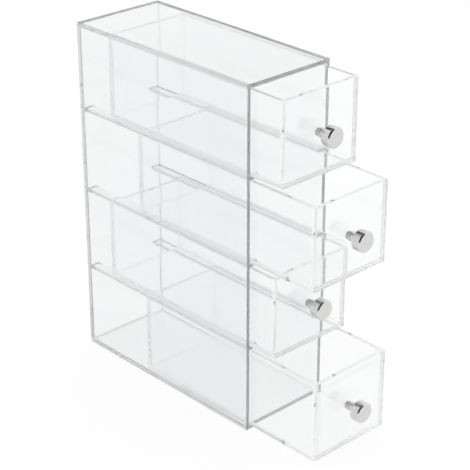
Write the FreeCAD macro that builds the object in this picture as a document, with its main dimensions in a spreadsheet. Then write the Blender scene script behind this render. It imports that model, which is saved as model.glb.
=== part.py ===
"""A tall, narrow organiser in clear acrylic sheet, with four drawers one above the other.

The case is five bonded sheets, open at the front, with three pairs of rails on its side
sheets. Each drawer is five more sheets. Three drawers run on a pair of rails each, and the
bottom one runs on the base sheet. A turned metal knob is screwed to every drawer front.

The origin is the middle of the case's underside. +Z is up, the drawers open towards -Y, and
+X is to the right as seen from the front. All sizes are in millimetres.
"""

import FreeCAD, Part
import os

import Sketcher

doc = FreeCAD.newDocument("organiser")
table = doc.addObject("Spreadsheet::Sheet", "Dimensions")


class Length:
    """A length held twice: as a number, and as the expression that works it out."""

    def __init__(self, number, text):
        self.number = number
        self.text = text

    def __add__(self, other):
        return Length(self.number + other.number, f"({self.text} + {other.text})")

    def __sub__(self, other):
        return Length(self.number - other.number, f"({self.text} - {other.text})")

    def __neg__(self):
        return Length(-self.number, f"(-{self.text})")

    def __mul__(self, factor):
        return Length(self.number * factor, f"({self.text} * {factor})")

    def __rmul__(self, factor):
        return self * factor

    def __truediv__(self, divisor):
        return Length(self.number / divisor, f"({self.text} / {divisor})")


ZERO = Length(0.0, "0")


def dimension(alias, number, meaning):
    """Write one driving dimension in the next row of the table."""
    row = len(table.getUsedCells()) // 2 + 1
    table.set(f"A{row}", meaning)
    table.set(f"B{row}", str(number))
    table.setAlias(f"B{row}", alias)
    return Length(number, f"Dimensions.{alias}")


# Case
case_width = dimension("case_width", 76.0, "outside width of the case")
case_depth = dimension("case_depth", 176.0, "outside depth of the case")
case_height = dimension("case_height", 260.0, "outside height of the case")
case_sheet = dimension("case_sheet", 3.0, "thickness of the case's sheets")
rail_width = dimension("rail_width", 8.0, "how far a rail stands in from its side sheet")
rail_thickness = dimension("rail_thickness", 2.5, "thickness of a rail")
edge_bevel = dimension("edge_bevel", 0.3, "bevel on the free edges of the sheets")

# Drawers
drawer_sheet = dimension("drawer_sheet", 3.0, "thickness of the drawers' sheets")
side_gap = dimension("side_gap", 0.4, "gap between a drawer and each side sheet")
head_gap = dimension("head_gap", 0.625, "gap over a drawer")
back_gap = dimension("back_gap", 0.5, "gap behind a drawer that is pushed home")
top_pull_length = dimension("top_pull_length", 29.5, "how far the top drawer stands open")
upper_pull_length = dimension("upper_pull_length", 59.0, "how far the upper drawer stands open")
lower_pull_length = dimension("lower_pull_length", 24.0, "how far the lower drawer stands open")
bottom_pull_length = dimension("bottom_pull_length", 63.5, "how far the bottom drawer stands open")

# Knobs
knob_reach = dimension("knob_reach", 13.8, "from the drawer front to the face of the knob")
drum_diameter = dimension("drum_diameter", 15.0, "diameter of the knob's drum")
drum_length = dimension("drum_length", 7.0, "length of the knob's drum")
face_bevel = dimension("face_bevel", 0.7, "bevel on the rim of the knob's face")
shoulder_bevel = dimension("shoulder_bevel", 0.6, "bevel on the back rim of the drum")
stem_diameter = dimension("stem_diameter", 5.6, "diameter of the stem behind the drum")
stem_flare = dimension("stem_flare", 1.0, "cone where the stem runs out into the drum")
foot_diameter = dimension("foot_diameter", 7.0, "diameter of the collar on the drawer front")
foot_length = dimension("foot_length", 1.3, "thickness of that collar")
foot_bevel = dimension("foot_bevel", 0.4, "bevel on the rim of that collar")

# Screws
screw_diameter = dimension("screw_diameter", 2.9, "diameter of the screw's shank")
screw_reach = dimension("screw_reach", 5.0, "how far the screw goes into the knob")
thread_gap = dimension("thread_gap", 0.05, "gap round the screw in the knob's bore")
bore_spare = dimension("bore_spare", 1.0, "bore beyond the end of the screw")
drill_point = dimension("drill_point", 0.9, "depth of the cone at the bore's end")
hole_gap = dimension("hole_gap", 0.25, "gap round the screw in the drawer front")
tip_bevel = dimension("tip_bevel", 0.4, "bevel on the end of the screw")
head_diameter = dimension("head_diameter", 5.8, "diameter of the screw's head")
head_height = dimension("head_height", 1.9, "height of the screw's head")
head_bevel = dimension("head_bevel", 0.8, "bevel on the rim of the screw's head")
cross_length = dimension("cross_length", 3.2, "length of each slot of the cross recess")
cross_width = dimension("cross_width", 0.7, "width of each slot of the cross recess")
cross_depth = dimension("cross_depth", 1.0, "depth of the cross recess")
doc.recompute()

# Sizes and places that follow from these
bay_height = (case_height - 2 * case_sheet - 3 * rail_thickness) / 4
bay_pitch = bay_height + rail_thickness
left = -case_width / 2
right = case_width / 2
front = -case_depth / 2
wall_length = case_depth - case_sheet
wall_height = case_height - 2 * case_sheet
drawer_width = case_width - 2 * case_sheet - 2 * side_gap
drawer_length = wall_length - back_gap
drawer_height = bay_height - head_gap
drawer_left = -drawer_width / 2


def new_body(label, place):
    """Start a body, with its place bound to three lengths."""
    body = doc.addObject("PartDesign::Body", label)
    body.Label = label
    for axis, length in zip("xyz", place):
        body.setExpression(f"Placement.Base.{axis}", length.text)
    return body


def new_sketch(body, name, role):
    """Start a sketch on one of the body's own origin planes."""
    plane = next(item for item in body.Origin.OriginFeatures if item.Role == role)
    sketch = body.newObject("Sketcher::SketchObject", name)
    sketch.AttachmentSupport = (plane, [""])
    sketch.MapMode = "FlatFace"
    return sketch


def pin(sketch, curve, end, point):
    """Fix the end of a sketched curve at a point given as two lengths."""
    for kind, axis, length in zip(("DistanceX", "DistanceY"), (-2, -1), point):
        if length is ZERO:
            sketch.addConstraint(Sketcher.Constraint("PointOnObject", curve, end, axis))
        else:
            constraint = Sketcher.Constraint(kind, -1, 1, curve, end, length.number)
            index = sketch.addConstraint(constraint)
            sketch.setExpression(f"Constraints[{index}]", length.text)


def draw_outline(sketch, points):
    """Draw a closed outline of straight lines through points given as pairs of lengths."""
    corners = [FreeCAD.Vector(x.number, y.number, 0) for x, y in points]
    for start, end in zip(corners, corners[1:] + corners[:1]):
        sketch.addGeometry(Part.LineSegment(start, end), False)
    for index in range(len(points)):
        following = (index + 1) % len(points)
        sketch.addConstraint(Sketcher.Constraint("Coincident", index, 2, following, 1))
    for index, point in enumerate(points):
        pin(sketch, index, 1, point)


def named_edges(shape, chosen):
    """Name the edges of a shape that a test picks out."""
    return [f"Edge{number}" for number, edge in enumerate(shape.Edges, 1) if chosen(edge)]


def bevel(body, name, edges, size):
    """Chamfer edges of the body's last feature by a bound size."""
    chamfer = body.newObject("PartDesign::Chamfer", name)
    chamfer.Base = (body.Group[-2], edges)
    chamfer.setExpression("Size", size.text)
    doc.recompute()


def cut_from(body, sketch, name):
    """Start a pocket, and return it with the body's volume before the cut."""
    doc.recompute()
    before = body.Shape.Volume
    pocket = body.newObject("PartDesign::Pocket", name)
    pocket.Profile = sketch
    return pocket, before


def confirm_cut(body, pocket, before):
    """Make sure that a pocket takes material away."""
    doc.recompute()
    if not body.Shape.Volume < before - 0.1:
        raise RuntimeError(f"{body.Label}: {pocket.Name} cuts nothing")


def new_sheet(label, size, place, free_edges):
    """Make one sheet from its near lower left corner, and bevel the edges left free.

    Each free edge is named by the two faces that meet there, as in "+Z -Y".
    """
    body = new_body(label, place)
    width, length, height = size
    sketch = new_sketch(body, "outline", "XY_Plane")
    draw_outline(sketch, [(ZERO, ZERO), (width, ZERO), (width, length), (ZERO, length)])
    pad = body.newObject("PartDesign::Pad", "thickness")
    pad.Profile = sketch
    pad.setExpression("Length", height.text)
    doc.recompute()

    limits = {
        "-X": ("x", 0.0), "+X": ("x", width.number),
        "-Y": ("y", 0.0), "+Y": ("y", length.number),
        "-Z": ("z", 0.0), "+Z": ("z", height.number),
    }

    def is_free(edge):
        for pair in free_edges:
            sides = [limits[side] for side in pair.split()]
            if all(
                abs(getattr(vertex.Point, axis) - limit) < 1e-4
                for axis, limit in sides
                for vertex in edge.Vertexes
            ):
                return True
        return False

    bevel(body, "eased_edges", named_edges(pad.Shape, is_free), edge_bevel)
    return body


def drill_for_screw(body):
    """Drill a drawer front through its middle for the knob's screw."""
    sketch = new_sketch(body, "hole_outline", "XZ_Plane")
    middle = (drawer_width / 2, drawer_height / 2)
    radius = screw_diameter / 2 + hole_gap
    centre = FreeCAD.Vector(middle[0].number, middle[1].number, 0)
    axis = FreeCAD.Vector(0, 0, 1)
    sketch.addGeometry(Part.Circle(centre, axis, radius.number), False)
    pin(sketch, 0, 3, middle)
    index = sketch.addConstraint(Sketcher.Constraint("Radius", 0, radius.number))
    sketch.setExpression(f"Constraints[{index}]", radius.text)
    hole, before = cut_from(body, sketch, "screw_hole")
    hole.Type = "ThroughAll"
    confirm_cut(body, hole, before)


def turn(body, points):
    """Turn a profile, given as radius and place along Y, about the body's Y axis."""
    sketch = new_sketch(body, "profile", "XY_Plane")
    draw_outline(sketch, points)
    turned = body.newObject("PartDesign::Revolution", "turned")
    turned.Profile = sketch
    turned.ReferenceAxis = (sketch, ["V_Axis"])
    turned.Angle = 360
    doc.recompute()


def rim(body, radius, along):
    """Name the circular edge of a turned body at a radius and a place along its axis."""
    def chosen(edge):
        curve = edge.Curve
        return (
            isinstance(curve, Part.Circle)
            and abs(curve.Radius - radius.number) < 1e-4
            and abs(curve.Center.y - along.number) < 1e-4
        )
    return named_edges(body.Group[-1].Shape, chosen)


def new_knob(label, place):
    """Turn a knob: collar, stem and drum, with a blind bore for the screw from behind.

    It stands towards -Y from the middle of its seat on the drawer front.
    """
    body = new_body(label, place)
    bore = screw_diameter / 2 + thread_gap
    foot = foot_diameter / 2
    stem = stem_diameter / 2
    drum = drum_diameter / 2
    bore_end = -(screw_reach + bore_spare)
    shoulder = drum_length - knob_reach
    turn(body, [
        (bore, ZERO),
        (foot, ZERO),
        (foot, -foot_length),
        (stem, -foot_length),
        (stem, shoulder),
        (drum, shoulder),
        (drum, -knob_reach),
        (ZERO, -knob_reach),
        (ZERO, bore_end - drill_point),
        (bore, bore_end),
    ])
    bevel(body, "flare", rim(body, stem, shoulder), stem_flare)
    bevel(body, "bevelled_face", rim(body, drum, -knob_reach), face_bevel)
    bevel(body, "bevelled_foot", rim(body, foot, -foot_length), foot_bevel)
    bevel(body, "bevelled_shoulder", rim(body, drum, shoulder), shoulder_bevel)


def new_screw(label, place):
    """Turn a pan-head screw that holds a knob from inside the drawer, with a cross recess.

    It is placed like its knob: the head bears on the inner face of the drawer front.
    """
    body = new_body(label, place)
    shank = screw_diameter / 2
    head = head_diameter / 2
    top = drawer_sheet + head_height
    turn(body, [
        (ZERO, -screw_reach),
        (shank, -screw_reach),
        (shank, drawer_sheet),
        (head, drawer_sheet),
        (head, top),
        (ZERO, top),
    ])
    bevel(body, "bevelled_tip", rim(body, shank, -screw_reach), tip_bevel)
    bevel(body, "bevelled_head", rim(body, head, top), head_bevel)

    sketch = new_sketch(body, "cross_outline", "XZ_Plane")
    sketch.setExpression("AttachmentOffset.Base.z", (-top).text)
    near = cross_width / 2
    far = cross_length / 2
    draw_outline(sketch, [
        (near, near), (near, far), (-near, far), (-near, near),
        (-far, near), (-far, -near), (-near, -near), (-near, -far),
        (near, -far), (near, -near), (far, -near), (far, near),
    ])
    cross, before = cut_from(body, sketch, "cross_recess")
    cross.Reversed = True
    cross.setExpression("Length", cross_depth.text)
    confirm_cut(body, cross, before)


def new_case():
    """Bond the case: top and base over the whole footprint, the walls between them."""
    slab = (case_width, case_depth, case_sheet)
    corners = ["-X -Y", "+X -Y", "-X +Y", "+X +Y"]
    new_sheet("base_panel", slab, (left, front, ZERO),
              ["-Z -X", "-Z +X", "-Z -Y", "-Z +Y", "+Z -Y"] + corners)
    new_sheet("top_panel", slab, (left, front, case_height - case_sheet),
              ["+Z -X", "+Z +X", "+Z -Y", "+Z +Y", "-Z -Y"] + corners)
    new_sheet("back_panel", (case_width, case_sheet, wall_height),
              (left, front + wall_length, case_sheet), ["+Y -X", "+Y +X"])
    wall = (case_sheet, wall_length, wall_height)
    wall_edges = ["-Y -X", "-Y +X"]
    new_sheet("left_side_panel", wall, (left, front, case_sheet), wall_edges)
    new_sheet("right_side_panel", wall, (right - case_sheet, front, case_sheet), wall_edges)


def new_rails(level, floor):
    """Bond the two rails whose upper faces are at a drawer's floor."""
    size = (rail_width, wall_length, rail_thickness)
    bottom = floor - rail_thickness
    left_place = (left + case_sheet, front, bottom)
    right_place = (right - case_sheet - rail_width, front, bottom)
    ends = ["-Y -Z", "-Y +Z"]
    new_sheet(f"{level}_rail_left", size, left_place, ["+X +Z", "+X -Z", "-Y +X"] + ends)
    new_sheet(f"{level}_rail_right", size, right_place, ["-X +Z", "-X -Z", "-Y -X"] + ends)


def new_drawer(level, floor, pull):
    """Bond one drawer at the height of its floor, standing open by its pull."""
    face = front - pull
    inside = face + drawer_sheet
    wall_bottom = floor + drawer_sheet
    box_wall_height = drawer_height - drawer_sheet
    side_length = drawer_length - 2 * drawer_sheet

    sheet = new_sheet(f"{level}_drawer_front", (drawer_width, drawer_sheet, drawer_height),
                      (drawer_left, face, floor),
                      ["-Y -X", "-Y +X", "-Y -Z", "-Y +Z", "+Z +Y",
                       "-X -Z", "-X +Z", "+X -Z", "+X +Z"])
    drill_for_screw(sheet)
    new_sheet(f"{level}_drawer_floor",
              (drawer_width, drawer_length - drawer_sheet, drawer_sheet),
              (drawer_left, inside, floor),
              ["-Z -X", "-Z +X", "-Z +Y", "-X +Y", "+X +Y"])
    new_sheet(f"{level}_drawer_back", (drawer_width, drawer_sheet, box_wall_height),
              (drawer_left, face + drawer_length - drawer_sheet, wall_bottom),
              ["+Y -X", "+Y +X", "+Y +Z", "-Y +Z", "-X +Z", "+X +Z"])
    side = (drawer_sheet, side_length, box_wall_height)
    side_edges = ["+Z -X", "+Z +X"]
    new_sheet(f"{level}_drawer_left", side, (drawer_left, inside, wall_bottom), side_edges)
    new_sheet(f"{level}_drawer_right", side,
              (-drawer_left - drawer_sheet, inside, wall_bottom), side_edges)

    seat = (ZERO, face, floor + drawer_height / 2)
    new_knob(f"{level}_drawer_knob", seat)
    new_screw(f"{level}_drawer_screw", seat)


new_case()
new_drawer("bottom", case_sheet, bottom_pull_length)
for bay, (level, pull) in enumerate(
    [("lower", lower_pull_length), ("upper", upper_pull_length), ("top", top_pull_length)], start=1
):
    bay_floor = case_sheet + bay * bay_pitch
    new_rails(level, bay_floor)
    new_drawer(level, bay_floor, pull)
doc.recompute()

for item in doc.Objects:
    if "Invalid" in item.State or "Error" in item.State:
        raise RuntimeError(f"{item.Label} did not recompute")

os.makedirs("parts", exist_ok=True)
for body in doc.findObjects("PartDesign::Body"):
    if body.Shape.isNull() or not body.Shape.isValid():
        raise RuntimeError(f"{body.Label} has no valid shape")
    body.Shape.exportStep(f"parts/{body.Label}.step")
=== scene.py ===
# %% [markdown]
# # A clear acrylic organiser with four drawers
#
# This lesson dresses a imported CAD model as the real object: a tall case of clear acrylic
# sheet, four drawers that slide in it, and four turned chrome knobs, each held by a screw
# from inside. Everything is in metres. The origin is the middle of the case's underside,
# +Z is up and the drawers open towards -Y.
#
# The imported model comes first, and its box is kept, because no finish may change the size.
# Every piece made below rides on a body of that model, so the drawers still slide.

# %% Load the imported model
from math import cos, radians, sin, tau

import bmesh
import bpy
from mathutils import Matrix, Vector


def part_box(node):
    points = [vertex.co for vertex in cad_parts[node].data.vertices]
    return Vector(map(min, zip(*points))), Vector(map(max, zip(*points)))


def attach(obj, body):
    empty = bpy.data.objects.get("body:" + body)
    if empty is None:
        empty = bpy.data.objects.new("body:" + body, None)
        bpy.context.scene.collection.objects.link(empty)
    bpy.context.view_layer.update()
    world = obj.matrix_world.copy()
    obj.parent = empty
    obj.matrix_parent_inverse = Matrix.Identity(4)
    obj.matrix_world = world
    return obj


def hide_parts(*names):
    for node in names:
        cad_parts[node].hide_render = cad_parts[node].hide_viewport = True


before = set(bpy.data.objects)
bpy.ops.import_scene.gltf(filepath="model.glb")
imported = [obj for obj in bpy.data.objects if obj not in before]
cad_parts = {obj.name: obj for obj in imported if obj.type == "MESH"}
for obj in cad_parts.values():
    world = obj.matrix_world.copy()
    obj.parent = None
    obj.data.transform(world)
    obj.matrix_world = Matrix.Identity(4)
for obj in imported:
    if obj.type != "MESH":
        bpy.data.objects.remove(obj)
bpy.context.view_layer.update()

MM = 0.001

# %% [markdown]
# ## Shader maths as plain expressions
#
# Blender's materials are graphs of nodes. Wiring Math nodes by hand hides the formula, so a
# small class wraps a socket and turns +, -, * and ** into Math nodes. Every node comes from
# one method, which sets the node's own settings first and then its sockets. A short trial at
# the end shows that 1 - mask works too.

# %% A socket that can be used in expressions
class Value:
    """One output socket of a node, with operators that add Math nodes."""

    def __init__(self, maker, socket):
        self.maker = maker
        self.socket = socket

    def _math(self, operation, first, second):
        return self.maker.node("ShaderNodeMath", {"operation": operation}, {0: first, 1: second})

    def __add__(self, other):
        return self._math("ADD", self, other)

    __radd__ = __add__

    def __sub__(self, other):
        return self._math("SUBTRACT", self, other)

    def __rsub__(self, other):
        return self._math("SUBTRACT", other, self)

    def __mul__(self, other):
        return self._math("MULTIPLY", self, other)

    __rmul__ = __mul__

    def __pow__(self, other):
        return self._math("POWER", self, other)


def pick(sockets, name):
    """The socket with this number, or the one in use with this name."""
    if isinstance(name, str):
        return next(socket for socket in sockets if socket.name == name and socket.enabled)
    return sockets[name]


class Shader:
    """The node tree of one material or world, emptied and ready to be written."""

    def __init__(self, owner):
        owner.use_nodes = True
        self.tree = owner.node_tree
        self.tree.nodes.clear()

    def node(self, kind, settings=None, sockets=None, output=0):
        """Add a node, give it its settings and then its sockets' values or links."""
        made = self.tree.nodes.new(kind)
        for name, setting in (settings or {}).items():
            if name == "stops":
                ramp = made.color_ramp.elements
                while len(ramp) < len(setting):
                    ramp.new(1.0)
                for stop, (place, level) in zip(ramp, setting):
                    stop.position = place
                    stop.color = (level, level, level, 1.0)
            else:
                setattr(made, name, setting)
        for name, value in (sockets or {}).items():
            socket = pick(made.inputs, name)
            if isinstance(value, Value):
                self.tree.links.new(value.socket, socket)
            else:
                socket.default_value = value
        return Value(self, pick(made.outputs, output)) if made.outputs else None


trial = bpy.data.materials.new("trial")
mask = Shader(trial).node("ShaderNodeTexNoise")
print("1 - mask is a Math node that does", (1.0 - mask).socket.node.operation)
bpy.data.materials.remove(trial)


# %% [markdown]
# ## Clear acrylic
#
# Cast acrylic sheet is a dense, colourless plastic with a refractive index of 1.49. Its faces
# are as smooth as glass, but wiping leaves faint hair scratches and handling leaves a soft
# haze here and there. The Principled shader with full transmission bends light as the plastic
# does, so the edges of the sheets light up and darken by themselves. The haze and the
# scratches only change the roughness and tilt the surface a little.

# %% Make the acrylic
ACRYLIC_INDEX = 1.49
DEPTH_COLOUR = (0.50, 0.51, 0.515, 1.0)
HAZE_STOPS = [(0.48, 0.0), (0.78, 1.0)]
HAZE_ROUGHNESS = 0.012
HAIR_STRETCH = (35.0, 900.0, 700.0)
HAIR_STOPS = [(0.72, 0.0), (0.8, 1.0)]
HAIR_DEPTH = 0.02 * MM


def clear_acrylic(name, tint, absorption):
    """Clear sheet with a faint haze and hair scratches, and a little grey in its depth."""
    material = bpy.data.materials.new(name)
    make = Shader(material)
    place = make.node("ShaderNodeTexCoord", output="Object")
    haze = make.node(
        "ShaderNodeTexNoise", {"noise_dimensions": "3D"},
        {"Vector": place, "Scale": 26.0, "Detail": 3.0, "Roughness": 0.6},
    )
    smear = make.node("ShaderNodeValToRGB", {"stops": HAZE_STOPS}, {"Fac": haze})
    stretched = make.node("ShaderNodeMapping", {}, {"Vector": place, "Scale": HAIR_STRETCH})
    hairs = make.node(
        "ShaderNodeTexNoise", {"noise_dimensions": "3D"},
        {"Vector": stretched, "Scale": 1.0, "Detail": 1.0},
    )
    fine = make.node("ShaderNodeValToRGB", {"stops": HAIR_STOPS}, {"Fac": hairs})
    tilt = make.node(
        "ShaderNodeBump", {}, {"Height": fine, "Strength": 0.01, "Distance": HAIR_DEPTH},
    )
    surface = make.node(
        "ShaderNodeBsdfPrincipled", {},
        {
            "Base Color": tint,
            "Roughness": smear * HAZE_ROUGHNESS,
            "IOR": ACRYLIC_INDEX,
            "Transmission Weight": 1.0,
            "Normal": tilt,
        },
    )
    depth = make.node(
        "ShaderNodeVolumeAbsorption", {}, {"Color": DEPTH_COLOUR, "Density": absorption},
    )
    make.node("ShaderNodeOutputMaterial", {}, {"Surface": surface, "Volume": depth})
    return material


case_acrylic = clear_acrylic(
    "clear_case_acrylic", tint=(0.955, 0.958, 0.961, 1.0), absorption=6.5,
)
drawer_acrylic = clear_acrylic(
    "clear_drawer_acrylic", tint=(0.987, 0.989, 0.990, 1.0), absorption=3.0,
)
print("acrylics:", case_acrylic.name, drawer_acrylic.name)

# %% [markdown]
# ## Bright chrome and dull zinc
#
# The knobs are turned from bar, polished and chrome plated. Under the plate the finest marks
# of the lathe are still there as rings about the knob's own axis, so a very low ring bump is
# worked out from the distance to that axis. Each knob's own box gives the place of its axis.
# Both kinds of plate have a fine grain as well. The zinc of the screws is duller, and its
# rings are fewer and deeper.

# %% Make the metals
BOX_MIDDLE = 0.5
RING_SHARE = 0.5
CLOUD_ROUGHNESS = 0.08


def plated(name, colour, roughness, ring_count, depth):
    """Plated metal with turned rings about the Y axis of the piece's own box."""
    material = bpy.data.materials.new(name)
    make = Shader(material)
    box_place = make.node("ShaderNodeTexCoord", output="Generated")
    across = make.node("ShaderNodeSeparateXYZ", {}, {"Vector": box_place}, "X") - BOX_MIDDLE
    up = make.node("ShaderNodeSeparateXYZ", {}, {"Vector": box_place}, "Z") - BOX_MIDDLE
    radius = (across * across + up * up) ** 0.5
    rings = make.node("ShaderNodeMath", {"operation": "SINE"}, {0: radius * (tau * ring_count)})
    place = make.node("ShaderNodeTexCoord", output="Object")
    cloud = make.node(
        "ShaderNodeTexNoise", {"noise_dimensions": "3D"},
        {"Vector": place, "Scale": 160.0, "Detail": 3.0},
    )
    grain = make.node(
        "ShaderNodeTexNoise", {"noise_dimensions": "3D"},
        {"Vector": place, "Scale": 3000.0, "Detail": 1.0},
    )
    height = rings * RING_SHARE + grain * (1.0 - RING_SHARE)
    tilt = make.node("ShaderNodeBump", {}, {"Height": height, "Distance": depth})
    surface = make.node(
        "ShaderNodeBsdfPrincipled", {},
        {
            "Base Color": colour,
            "Metallic": 1.0,
            "Roughness": roughness + CLOUD_ROUGHNESS * cloud,
            "Normal": tilt,
        },
    )
    make.node("ShaderNodeOutputMaterial", {}, {"Surface": surface})
    return material


chrome = plated(
    "polished_chrome", colour=(0.67, 0.67, 0.665, 1.0), roughness=0.02,
    ring_count=60.0, depth=0.0004 * MM,
)
zinc = plated(
    "dull_zinc", colour=(0.62, 0.62, 0.60, 1.0), roughness=0.22,
    ring_count=12.0, depth=0.004 * MM,
)
print("metals:", chrome.name, zinc.name)

# %% [markdown]
# ## Bonded sheets as one body of plastic
#
# Solvent welds the sheets of the case, and of each drawer, into one piece of plastic: light
# crosses the bond almost as if there were no joint. Meshes of single sheets would put two
# surfaces into every bond, and light would bounce there as it never does in the real thing.
# So the boxes of the sheets are joined into one closed skin. All their corner planes together
# cut space into cells, a cell is plastic if it lies in any sheet, and a face is made wherever
# plastic meets air. Planes that agree to a ten-thousandth of a millimetre count as one.

# %% Join boxes into one closed skin
PLANE_DIGITS = 7


def skin_of(boxes):
    """Return the vertices and faces of the closed surface round a union of boxes."""
    planes = [
        sorted({round(corner[axis], PLANE_DIGITS) for box in boxes for corner in box})
        for axis in range(3)
    ]

    def is_plastic(cell):
        if not all(0 <= cell[axis] < len(planes[axis]) - 1 for axis in range(3)):
            return False
        middle = [
            (planes[axis][cell[axis]] + planes[axis][cell[axis] + 1]) / 2 for axis in range(3)
        ]
        return any(
            all(low[axis] < middle[axis] < high[axis] for axis in range(3))
            for low, high in boxes
        )

    vertices, faces = {}, []
    for x in range(len(planes[0]) - 1):
        for y in range(len(planes[1]) - 1):
            for z in range(len(planes[2]) - 1):
                cell = (x, y, z)
                if not is_plastic(cell):
                    continue
                for axis in range(3):
                    for side in (0, 1):
                        beyond = list(cell)
                        beyond[axis] += 2 * side - 1
                        if is_plastic(beyond):
                            continue
                        across, along = (axis + 1) % 3, (axis + 2) % 3
                        ring = []
                        for a, b in ((0, 0), (1, 0), (1, 1), (0, 1)):
                            corner = list(cell)
                            corner[axis] += side
                            corner[across] += a
                            corner[along] += b
                            ring.append(vertices.setdefault(tuple(corner), len(vertices)))
                        faces.append(ring if side else ring[::-1])
    points = [tuple(planes[axis][index[axis]] for axis in range(3)) for index in vertices]
    return points, faces


two_blocks = [((0.0, 0.0, 0.0), (1.0, 1.0, 1.0)), ((1.0, 0.0, 0.0), (2.0, 1.0, 1.0))]
print("two blocks side by side have", len(skin_of(two_blocks)[1]), "faces, not 12")

# %% [markdown]
# ## Meshes become pieces
#
# Some shapes below start as lists of corners and some are drawn in a bmesh. One helper each
# makes them into a mesh, and a third puts the mesh into the scene as an object. Faces of a
# bmesh are turned to look outwards, because a renderer tells plastic from air by the side
# that a face looks to.

# %% Put a mesh into the scene
def piece_from(name, mesh):
    """Add an object that shows a mesh."""
    piece = bpy.data.objects.new(name, mesh)
    bpy.context.scene.collection.objects.link(piece)
    return piece


def drawn(name, shape):
    """Finish a bmesh and add it as an object."""
    bmesh.ops.recalc_face_normals(shape, faces=shape.faces)
    mesh = bpy.data.meshes.new(name)
    shape.to_mesh(mesh)
    shape.free()
    return piece_from(name, mesh)


def listed(name, points, faces):
    """Add an object made of listed corners and faces."""
    mesh = bpy.data.meshes.new(name)
    mesh.from_pydata(points, [], faces)
    return piece_from(name, mesh)


# %% [markdown]
# ## Drilling
#
# A hole for a screw is drilled through the front of each drawer. Here a rod stands for the
# drill, and a Boolean modifier takes its room out of the plastic. When all is cut, the
# modifiers are applied and the drill is put away, so that only finished pieces stay. The
# rod has flat sides, so there are enough of them to keep the hole round.

# %% Drill and settle
DRILL_SIDES = 48


def rod(name, centre, radius, low, high):
    """A cylinder along Y, to drill with."""
    shape = bmesh.new()
    ends = [
        [
            shape.verts.new((
                centre[0] + radius * cos(tau * side / DRILL_SIDES), y,
                centre[2] + radius * sin(tau * side / DRILL_SIDES),
            ))
            for side in range(DRILL_SIDES)
        ]
        for y in (low, high)
    ]
    shape.faces.new(ends[0])
    shape.faces.new(ends[1][::-1])
    for side in range(DRILL_SIDES):
        after = (side + 1) % DRILL_SIDES
        shape.faces.new((ends[0][side], ends[0][after], ends[1][after], ends[1][side]))
    return drawn(name, shape)


def cut_with(piece, cutters):
    """Take the cutters' room out of a piece."""
    for cutter in cutters:
        cut = piece.modifiers.new("cut", "BOOLEAN")
        cut.object = cutter
        cut.solver = "EXACT"


def settle(piece):
    """Apply a piece's modifiers to its mesh, and remove what cut it."""
    ready = bpy.context.evaluated_depsgraph_get()
    finished = bpy.data.meshes.new_from_object(piece.evaluated_get(ready))
    cutters = [modifier.object for modifier in piece.modifiers if modifier.type == "BOOLEAN"]
    piece.modifiers.clear()
    piece.data = finished
    for cutter in cutters:
        bpy.data.objects.remove(cutter)


out_of_round = 1.0 - cos(tau / DRILL_SIDES / 2)
print("the flats of the drill are out of round by", f"{out_of_round:.2%}", "of its radius")

# %% [markdown]
# ## Eased edges
#
# The free edges of the sheets are eased by hand with a scraper and a flame, and the solvent
# leaves a tiny fillet inside each corner. A small bevel on every sharp edge does both, and it
# gives each edge the thin bright line that tells the eye where the sheet ends.

# %% Build a bonded piece
EASED = 0.4 * MM
EASE_SEGMENTS = 2
SHARP_ANGLE = radians(40)


def bonded(name, nodes, body, material, boxes, holes=()):
    """Join the boxes of some sheets, drill them, ease the edges and stand for the sheets."""
    piece = listed(name, *skin_of(boxes))
    cut_with(piece, [rod(f"{name}_drill", *hole) for hole in holes])
    ease = piece.modifiers.new("ease", "BEVEL")
    ease.width = EASED
    ease.segments = EASE_SEGMENTS
    ease.limit_method = "ANGLE"
    ease.angle_limit = SHARP_ANGLE
    settle(piece)
    piece.data.materials.append(material)
    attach(piece, body)
    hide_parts(*nodes)
    print(name, "faces:", len(piece.data.polygons))


print("edges are eased by", EASED / MM, "mm")

# %% [markdown]
# ## The case
#
# The case is a tall box of five sheets, open at the front. Three pairs of narrow rails are
# bonded inside its sides, and the upper three drawers slide on them. The places of all these
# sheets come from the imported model, so a changed size there changes the piece here as well.

# %% Bond the case
CASE_SHEETS = ["base_panel", "top_panel", "back_panel", "left_side_panel", "right_side_panel"]
RAILED = ("top", "upper", "lower")
RAILS = [f"{level}_rail_{side}" for level in RAILED for side in ("left", "right")]


def box_of(node):
    """The low and high corner of a node's box."""
    low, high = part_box(node)
    return tuple(low), tuple(high)


case_nodes = CASE_SHEETS + RAILS
case_boxes = [box_of(node) for node in case_nodes]
bonded("case", case_nodes, "case", case_acrylic, case_boxes)

# %% [markdown]
# ## The drawers
#
# Each drawer is an open box of five sheets. It slides, so its underside must not touch what
# carries it: two clear faces in contact look wet. The sheets that reach the underside are
# kept a tenth of a millimetre above it. The front gets a hole with a little play round the
# screw, and the drill starts and ends a millimetre outside the sheet.

# %% Bond the drawers
LEVELS = ("top", "upper", "lower", "bottom")
DRAWER_SHEETS = ("front", "floor", "back", "left", "right")
GLIDE = 0.1 * MM
HOLE_RADIUS = 1.7 * MM
DRILL_SPARE = 1.0 * MM


def drawer_nodes(level):
    """The nodes of the sheets of one drawer, its front first."""
    return [f"{level}_drawer_{sheet}" for sheet in DRAWER_SHEETS]


def drawer_boxes(level):
    """The boxes of the sheets of one drawer, its front first."""
    return [box_of(node) for node in drawer_nodes(level)]


def gliding(boxes):
    """The same boxes, kept clear of what carries them."""
    clear = min(low[2] for low, high in boxes) + GLIDE
    return [((low[0], low[1], max(low[2], clear)), high) for low, high in boxes]


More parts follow.
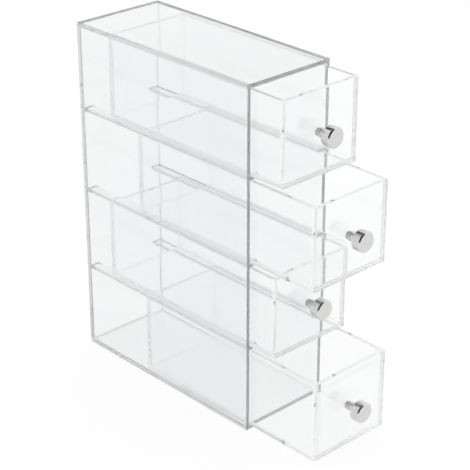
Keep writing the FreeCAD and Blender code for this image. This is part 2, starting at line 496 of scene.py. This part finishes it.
for level in LEVELS:
    boxes = gliding(drawer_boxes(level))
    screw_low, screw_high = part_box(f"{level}_drawer_screw")
    middle = [(a + b) / 2 for a, b in zip(screw_low, screw_high)]
    front_low, front_high = boxes[0]
    hole = (middle, HOLE_RADIUS, front_low[1] - DRILL_SPARE, front_high[1] + DRILL_SPARE)
    bonded(
        f"{level}_drawer_box", drawer_nodes(level), f"{level}_drawer",
        drawer_acrylic, boxes, [hole],
    )

# %% [markdown]
# ## Bond films
#
# A solvent bond is never perfectly clear. It leaves a film a few hundredths of a millimetre
# thick between the sheets, with tiny bubbles that make it milky. Seen through the plastic,
# the films draw grey lines along the rails. They also draw pale bands at the corners of the
# drawers, which are partly the milky film and partly a painted glow. The film is partly
# see-through, and it scatters light that runs inside the sheets. A path tracer rarely finds
# that light, so a little glow, which is painted light, stands for it.

# %% Make the bond films' material
LEAST_BUBBLES = 0.6
BUBBLE_SPREAD = 0.8


def milky(name, grey, cover, glow):
    """A thin cloudy film: how grey it is, how much it covers and how much painted glow it gives.
    """
    material = bpy.data.materials.new(name)
    make = Shader(material)
    place = make.node("ShaderNodeTexCoord", output="Object")
    bubbles = make.node(
        "ShaderNodeTexNoise", {"noise_dimensions": "3D"},
        {"Vector": place, "Scale": 900.0, "Detail": 2.0},
    )
    surface = make.node(
        "ShaderNodeBsdfPrincipled", {},
        {
            "Base Color": (grey, grey, grey, 1.0),
            "Roughness": 0.8,
            "Specular IOR Level": 0.0,
            "Alpha": cover * (LEAST_BUBBLES + BUBBLE_SPREAD * bubbles),
            # Painted light: this emission stands for light that the film scatters out of the
            # sheets.
            "Emission Color": (1.0, 1.0, 1.0, 1.0),
            "Emission Strength": glow,
        },
    )
    make.node("ShaderNodeOutputMaterial", {}, {"Surface": surface})
    return material


# Both films glow with painted light; the drawer film's stronger glow paints the pale bands at
# the drawer corners.
case_film = milky("grey_bond_film_with_painted_glow", grey=0.5, cover=0.25, glow=0.18)
drawer_film = milky("pale_bond_film_with_painted_glow", grey=0.9, cover=0.35, glow=0.52)
print("films:", case_film.name, drawer_film.name)

# %% [markdown]
# A film lies wherever two boxes of one assembly touch: they share a plane, and on that plane
# they overlap both ways. The film is that overlap, kept clear of the eased edges and given
# its thickness. All films of one assembly make one piece.

# %% Lay the films between the sheets
FILM_MARGIN = 0.5 * MM
FILM_THICKNESS = 0.06 * MM
SAME_PLANE = 0.001 * MM


def films_between(boxes):
    """Return the thin boxes of cement where the given boxes touch."""
    films = []
    for first, (low_a, high_a) in enumerate(boxes):
        for low_b, high_b in boxes[first + 1:]:
            low = [max(pair) for pair in zip(low_a, low_b)]
            high = [min(pair) for pair in zip(high_a, high_b)]
            flat = [axis for axis in range(3) if abs(high[axis] - low[axis]) < SAME_PLANE]
            wide = [axis for axis in range(3) if high[axis] - low[axis] > 2 * FILM_MARGIN]
            if len(flat) == 1 and len(wide) == 2:
                for axis in wide:
                    low[axis] += FILM_MARGIN
                    high[axis] -= FILM_MARGIN
                low[flat[0]] -= FILM_THICKNESS / 2
                high[flat[0]] += FILM_THICKNESS / 2
                films.append((tuple(low), tuple(high)))
    return films


def lay_films(name, body, boxes, material):
    """Build the films of one assembly as one piece that rides with it."""
    films = films_between(boxes)
    piece = listed(name, *skin_of(films))
    piece.data.materials.append(material)
    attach(piece, body)
    print(name, "films:", len(films))


lay_films("case_bonds", "case", case_boxes, case_film)
for level in LEVELS:
    lay_films(
        f"{level}_drawer_bonds", f"{level}_drawer",
        drawer_boxes(level), drawer_film,
    )

# %% [markdown]
# ## Turned shapes
#
# Knobs and screw heads come off a lathe: one profile, swept round an axis. Polishing and
# plating round every corner a little, and those small rounds catch the dark and bright parts
# of a room. So a profile is written as a list of corners with a radius each, and the corners
# are replaced by arcs.

# %% Round the corners of a profile
ARC_STEPS = 7


def rounded(corners):
    """Replace each corner (radius, along, fillet) of a profile by an arc."""
    outline = [Vector(corners[0][:2])]
    for before, (x, y, fillet), after in zip(corners, corners[1:], corners[2:]):
        corner = Vector((x, y))
        back = (Vector(before[:2]) - corner).normalized()
        ahead = (Vector(after[:2]) - corner).normalized()
        if fillet == 0.0:
            outline.append(corner)
            continue
        half = back.angle(ahead) / 2
        centre = corner + (back + ahead).normalized() * fillet / sin(half)
        reach = fillet * cos(half) / sin(half)
        first = corner + back * reach - centre
        last = corner + ahead * reach - centre
        sweep = first.angle_signed(last)
        for step in range(ARC_STEPS + 1):
            turn = -sweep * step / ARC_STEPS
            spoke = Vector((
                first.x * cos(turn) - first.y * sin(turn),
                first.x * sin(turn) + first.y * cos(turn),
            ))
            outline.append(centre + spoke)
    outline.append(Vector(corners[-1][:2]))
    return outline


square_end = [(0.0, 0.0, 0.0), (1.0, 0.0, 0.2), (1.0, 1.0, 0.0)]
print("one rounded corner is drawn with", len(rounded(square_end)), "points")

# %% [markdown]
# The profile is then swept round the Y axis. A point on the axis stays a single point, and
# everywhere else a ring of points is joined to the next ring. The faces are shaded smooth,
# and the arcs keep the corners crisp.

# %% Sweep a profile
TURN_STEPS = 96
ON_AXIS = 1e-9


def turned(name, corners, seat):
    """Sweep a profile about the Y axis through the seat; along is measured towards -Y."""
    shape = bmesh.new()
    rings = []
    for radius, along in rounded(corners):
        steps = 1 if radius < ON_AXIS else TURN_STEPS
        rings.append([
            shape.verts.new((
                seat[0] + radius * cos(tau * step / TURN_STEPS),
                seat[1] - along,
                seat[2] + radius * sin(tau * step / TURN_STEPS),
            ))
            for step in range(steps)
        ])
    for ring, following in zip(rings, rings[1:]):
        for step in range(TURN_STEPS):
            after = (step + 1) % TURN_STEPS
            corners_of_face = [
                ring[step % len(ring)], ring[after % len(ring)],
                following[after % len(following)], following[step % len(following)],
            ]
            shape.faces.new(list(dict.fromkeys(corners_of_face)))
    for face in shape.faces:
        face.smooth = True
    return drawn(name, shape)


print("one step of a turned piece is", 360 / TURN_STEPS, "degrees")

# %% [markdown]
# ## Knobs
#
# A knob has a foot that bears on the drawer front, a stem that widens into a drum, and a flat
# polished face with a bevelled rim. The rim is what draws the dark crescent beside the face.
# From behind, a blind bore takes the screw.

# %% Turn the knobs
STEM_RADIUS = 2.8 * MM
FOOT_RADIUS = 3.5 * MM
FOOT_LENGTH = 1.3 * MM
DRUM_LENGTH = 7.0 * MM
BORE_RADIUS = 1.5 * MM
BORE_DEPTH = 6.0 * MM
DRILL_POINT = 0.9 * MM
FACE_BEVEL = 0.9 * MM
BORE_MOUTH = 0.1 * MM
EDGE_ROUND = 0.15 * MM
FOOT_ROUND = 0.5 * MM
STEM_FLARE = 1.2 * MM
DRUM_ROUND = 0.55 * MM
RIM_ROUND = 0.3 * MM
SEAT_GAP = 0.02 * MM

for level in LEVELS:
    low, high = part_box(f"{level}_drawer_knob")
    seat = ((low[0] + high[0]) / 2, high[1] - SEAT_GAP, (low[2] + high[2]) / 2)
    drum = (high[0] - low[0]) / 2
    face = seat[1] - low[1]
    knob = turned(f"{level}_knob", [
        (0.0, BORE_DEPTH + DRILL_POINT, 0.0),
        (BORE_RADIUS, BORE_DEPTH, 0.0),
        (BORE_RADIUS, 0.0, BORE_MOUTH),
        (FOOT_RADIUS, 0.0, EDGE_ROUND),
        (FOOT_RADIUS, FOOT_LENGTH, FOOT_ROUND),
        (STEM_RADIUS, FOOT_LENGTH, EDGE_ROUND),
        (STEM_RADIUS, face - DRUM_LENGTH, STEM_FLARE),
        (drum, face - DRUM_LENGTH, DRUM_ROUND),
        (drum, face - FACE_BEVEL, RIM_ROUND),
        (drum - FACE_BEVEL, face, RIM_ROUND),
        (0.0, face, 0.0),
    ], seat)
    knob.data.materials.append(chrome)
    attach(knob, f"{level}_drawer")
    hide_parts(f"{level}_drawer_knob")
print("each knob has", len(knob.data.polygons), "faces")

# %% [markdown]
# ## Threads
#
# A small pan-head screw holds each knob from inside. Its thread shows through the clear front
# as a fine grey ribbing, so the shank is a real helix: going once round it moves the ridge
# on by one pitch. Towards the tip the thread runs out into the plain core.

# %% Roll a thread
THREAD_PITCH = 0.5 * MM
THREAD_DEPTH = 0.25 * MM
THREAD_ROWS = 6
THREAD_SIDES = 24
SHANK_RADIUS = 1.45 * MM


def ridge(turns):
    """Height of the thread's ridge, 0 to 1, after some turns."""
    part = turns % 1.0
    return 1.0 - abs(2.0 * part - 1.0)


def threaded_shank(shape, centre, start, end):
    """Add a shank along -Y with a helical thread, closed at both ends."""
    rows = round((start - end) / THREAD_PITCH * THREAD_ROWS)
    rings = []
    for row in range(rows + 1):
        y = start + (end - start) * row / rows
        ring = []
        for side in range(THREAD_SIDES):
            turns = row / THREAD_ROWS + side / THREAD_SIDES
            run_out = min(1.0, (rows - row) / THREAD_ROWS)
            radius = SHANK_RADIUS - THREAD_DEPTH * (1.0 - ridge(turns) * run_out)
            ring.append(shape.verts.new((
                centre[0] + radius * cos(tau * side / THREAD_SIDES), y,
                centre[1] + radius * sin(tau * side / THREAD_SIDES),
            )))
        rings.append(ring)
    for ring, following in zip(rings, rings[1:]):
        for side in range(THREAD_SIDES):
            after = (side + 1) % THREAD_SIDES
            shape.faces.new((ring[side], ring[after], following[after], following[side]))
    shape.faces.new(rings[0])
    shape.faces.new(rings[-1])


print("ridge at each quarter turn:", [ridge(quarter / 4) for quarter in range(5)])

# %% [markdown]
# ## The driver's recess
#
# A punch presses a cross into the head while the steel is soft. Its arms get shorter towards
# the tip, so that it comes out again. A cutter of the same form is used here. It starts a
# little above the head to cut cleanly.

# %% Shape the punch
CROSS_LENGTH = 3.2 * MM
CROSS_WIDTH = 0.7 * MM
CROSS_DEPTH = 1.0 * MM
PUNCH_ABOVE = 0.3 * MM
SHARE_ABOVE = 1.15
SHARE_AT_TIP = 0.45


def cross_cutter(name, centre, top):
    """A tapered cross along Y that cuts the driver's recess; top is the head's top."""
    shape = bmesh.new()
    ends = []
    for depth, share in ((-PUNCH_ABOVE, SHARE_ABOVE), (CROSS_DEPTH, SHARE_AT_TIP)):
        arm, half = CROSS_LENGTH / 2 * share, CROSS_WIDTH / 2
        outline = [
            (arm, -half), (arm, half), (half, half), (half, arm),
            (-half, arm), (-half, half), (-arm, half), (-arm, -half),
            (-half, -half), (-half, -arm), (half, -arm), (half, -half),
        ]
        ends.append([
            shape.verts.new((centre[0] + x, top - depth, centre[1] + z)) for x, z in outline
        ])
    shape.faces.new(ends[0])
    shape.faces.new(ends[1][::-1])
    for corner in range(len(ends[0])):
        after = (corner + 1) % len(ends[0])
        shape.faces.new((ends[0][corner], ends[0][after], ends[1][after], ends[1][corner]))
    return drawn(name, shape)


print("recess:", CROSS_LENGTH / MM, "mm across,", CROSS_DEPTH / MM, "mm deep")

# %% [markdown]
# ## Screws
#
# The head is turned and punched. Punching leaves slivers of faces round the recess, so
# corners that nearly meet are merged, all faces are cut into triangles, and triangles without
# any area are dissolved. Then the threaded shank is added. It starts inside the head, as one
# piece of steel would, and ends inside the bore.

# %% Make the screws
HEAD_RADIUS = 2.9 * MM
HEAD_HEIGHT = 1.9 * MM
HEAD_DOME = 1.1 * MM
ROOT_DEPTH = 0.2 * MM
SLIVER = 0.002 * MM

for level in LEVELS:
    low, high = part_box(f"{level}_drawer_screw")
    centre = ((low[0] + high[0]) / 2, (low[2] + high[2]) / 2)
    bearing = high[1] - HEAD_HEIGHT + SEAT_GAP
    crown = SEAT_GAP - HEAD_HEIGHT
    head = turned(f"{level}_screw", [
        (0.0, 0.0, 0.0),
        (HEAD_RADIUS, 0.0, EDGE_ROUND),
        (HEAD_RADIUS, crown, HEAD_DOME),
        (0.0, crown, 0.0),
    ], (centre[0], bearing, centre[1]))
    cut_with(head, [cross_cutter(f"{level}_cross", centre, high[1])])
    settle(head)
    shape = bmesh.new()
    shape.from_mesh(head.data)
    bmesh.ops.remove_doubles(shape, verts=shape.verts, dist=SLIVER)
    bmesh.ops.triangulate(shape, faces=shape.faces)
    bmesh.ops.dissolve_degenerate(shape, dist=SLIVER, edges=shape.edges)
    threaded_shank(shape, centre, bearing + ROOT_DEPTH, low[1])
    bmesh.ops.recalc_face_normals(shape, faces=shape.faces)
    shape.to_mesh(head.data)
    shape.free()
    head.data.materials.append(zinc)
    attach(head, f"{level}_drawer")
    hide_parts(f"{level}_drawer_screw")
print("each screw has", len(head.data.polygons), "faces")

# %% [markdown]
# ## The floor
#
# Clear plastic has no look of its own: it shows what is round it. The organiser stands on a
# wide sheet of white paper that is lit evenly from below and above, as on a light table, so
# shadows stay faint. Far away the paper gets slightly darker: its glow is painted light that
# is brightest round the organiser and fades with distance, which gives the case's lower edges
# something to show.

# %% Lay the floor
FLOOR_HALF = 4.0
FLOOR_DROP = 0.2 * MM
BRIGHT_WITHIN = 1.2
DIM_BEYOND = 3.6
DIM_SHARE = 0.8
PAPER_GREY = 0.12
PAPER_GLOW = 0.92
BLACK = (0.0, 0.0, 0.0, 1.0)
WHITE = (1.0, 1.0, 1.0, 1.0)

floor_corners = [
    (x * FLOOR_HALF, y * FLOOR_HALF, -FLOOR_DROP)
    for x, y in ((-1, -1), (1, -1), (1, 1), (-1, 1))
]
floor = listed("floor", floor_corners, [(0, 1, 2, 3)])
paper = bpy.data.materials.new("white_paper")
make = Shader(paper)
place = make.node("ShaderNodeTexCoord", output="Object")
distance = make.node("ShaderNodeVectorMath", {"operation": "LENGTH"}, {0: place}, "Value")
# Painted light: the paper's glow is full within BRIGHT_WITHIN and falls to DIM_SHARE beyond
# DIM_BEYOND.
painted_light_pool = make.node(
    "ShaderNodeMapRange", {"interpolation_type": "SMOOTHSTEP"},
    {
        "Value": distance,
        "From Min": BRIGHT_WITHIN,
        "From Max": DIM_BEYOND,
        "To Min": 1.0,
        "To Max": DIM_SHARE,
    },
)
glow = make.node(
    "ShaderNodeMix", {"data_type": "RGBA"}, {"Factor": painted_light_pool, "A": BLACK, "B": WHITE}, "Result",
)
matt = make.node(
    "ShaderNodeBsdfPrincipled", {},
    {
        "Base Color": (PAPER_GREY, PAPER_GREY, PAPER_GREY, 1.0),
        "Roughness": 0.9,
        "Specular IOR Level": 0.0,
        "Emission Color": glow,
        "Emission Strength": PAPER_GLOW,
    },
)
make.node("ShaderNodeOutputMaterial", {}, {"Surface": matt})
floor.data.materials.append(paper)
print("floor:", 2 * FLOOR_HALF, "m wide")

# %% [markdown]
# ## The room
#
# Apart from the glow of the paper and of the bond films, all light comes from the room
# itself: a white tent with soft dark patches in it. Polished chrome and the edges of clear
# sheet mirror those patches as grey and black lines, and these lines draw the shape. A patch
# is written as a direction and two angles: it has its full strength within the inner one and
# fades out at the outer one.

# %% Describe the patches
world = bpy.data.worlds.new("studio")
bpy.context.scene.world = world
make = Shader(world)
direction = make.node("ShaderNodeTexCoord", output="Generated")


def facing(azimuth, elevation):
    """Unit vector towards a part of the room; azimuth 0 is straight behind the organiser."""
    flat = cos(radians(elevation))
    return (flat * sin(radians(azimuth)), flat * cos(radians(azimuth)), sin(radians(elevation)))


def patch(azimuth, elevation, inner, outer):
    """A soft round patch of the room: 1 within the inner angle, 0 beyond the outer one."""
    closeness = make.node(
        "ShaderNodeVectorMath", {"operation": "DOT_PRODUCT"},
        {0: direction, 1: facing(azimuth, elevation)}, "Value",
    )
    return make.node(
        "ShaderNodeMapRange", {"interpolation_type": "SMOOTHSTEP"},
        {
            "Value": closeness,
            "From Min": cos(radians(outer)),
            "From Max": cos(radians(inner)),
        },
    )


print("straight behind:", facing(0.0, 0.0))

# %% [markdown]
# Two wide dark patches stand in front of the organiser, one behind the camera and one higher
# up, where the rims of the knobs look. A faint one behind the organiser greys what is seen
# through many sheets, and a small one above it marks the top edges. Each patch takes a share
# of the light away. Where patches overlap, the shares that they leave are multiplied.

# %% Light the room
TENT_LIGHT = 1.1
DARK_PATCHES = {
    # place: azimuth, elevation, inner and outer angle in degrees, and share of light taken
    "behind the camera": (-140.0, 24.0, 34.0, 44.0, 0.95),
    "high in front": (-172.0, 46.0, 24.0, 32.0, 0.95),
    "behind the organiser": (43.0, 34.0, 10.0, 22.0, 0.15),
    "above the organiser": (10.0, 54.0, 9.0, 17.0, 0.9),
}

brightness = TENT_LIGHT
for azimuth, elevation, inner, outer, share in DARK_PATCHES.values():
    brightness = brightness * (1.0 - share * patch(azimuth, elevation, inner, outer))
room = make.node("ShaderNodeBackground", {}, {"Color": WHITE, "Strength": brightness})
make.node("ShaderNodeOutputWorld", {}, {"Surface": room})
print("dark patches:", list(DARK_PATCHES))

# %% [markdown]
# ## The camera
#
# The organiser is seen from its front left and from above, through a long lens, so its
# upright edges stay nearly parallel. The colours are shown plainly, without a film look.

# %% Place the camera
CAMERA_PLACE = (-0.68423, -0.76413, 0.60774)
CAMERA_YAW = 43.22
CAMERA_PITCH = 25.87
CAMERA_LENS = 119.6

camera_data = bpy.data.cameras.new("camera")
camera_data.lens = CAMERA_LENS
camera = bpy.data.objects.new("camera", camera_data)
camera.location = CAMERA_PLACE
camera.rotation_euler = (radians(90 - CAMERA_PITCH), 0, radians(-CAMERA_YAW))
bpy.context.scene.collection.objects.link(camera)
bpy.context.scene.camera = camera
bpy.context.scene.view_settings.view_transform = "Standard"
print("camera distance:", round(camera.location.length, 3), "m")

# %% [markdown]
# ## Long paths of light
#
# Light is caught inside a sheet and runs along it, mirrored hundreds of times, until it
# leaves through an edge. A path that is cut short turns an edge black, so many bounces are
# allowed. The denoiser only gets the colours: the helper pictures of colour and slope see
# nothing but the first clear face, and with them the edges come out grainy.

# %% Let the light run
BOUNCES = 200

tracing = bpy.context.scene.cycles
tracing.max_bounces = BOUNCES
tracing.transmission_bounces = BOUNCES
tracing.glossy_bounces = BOUNCES
tracing.denoising_input_passes = "RGB"
print("bounces:", tracing.max_bounces)
